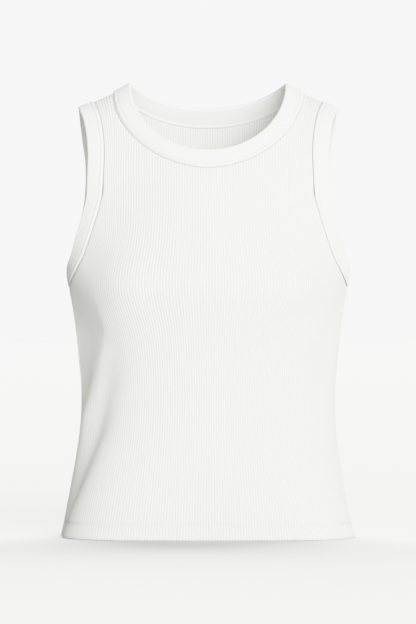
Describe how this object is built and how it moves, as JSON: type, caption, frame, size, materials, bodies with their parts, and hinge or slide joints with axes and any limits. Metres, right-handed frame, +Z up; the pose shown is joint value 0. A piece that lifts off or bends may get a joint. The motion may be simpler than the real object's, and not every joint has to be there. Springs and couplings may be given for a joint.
{
  "type": "tank top",
  "caption": "Cropped ribbed tank top in its worn form: hollow, with a round neck band, wide straps, armhole bands and a turned hem.",
  "frame": {"origin": "between the shoulders, on the line where the shoulder seams cross the top of the wearer's shoulders, 13 mm under the neck's highest points", "axes": "+Z up towards the neck, -Y the front of the garment, +X the wearer's left"},
  "size_m": [0.3238, 0.2211, 0.4945],
  "materials": {
    "rib": "matt cotton rib knit, off-white",
    "band": "matt folded strip of the same knit, off-white"
  },
  "bodies": {
    "root": {"front_panel": "rib", "back_panel": "rib", "neck_band": "band", "armhole_band_left": "band", "armhole_band_right": "band"}
  },
  "joints": []
}
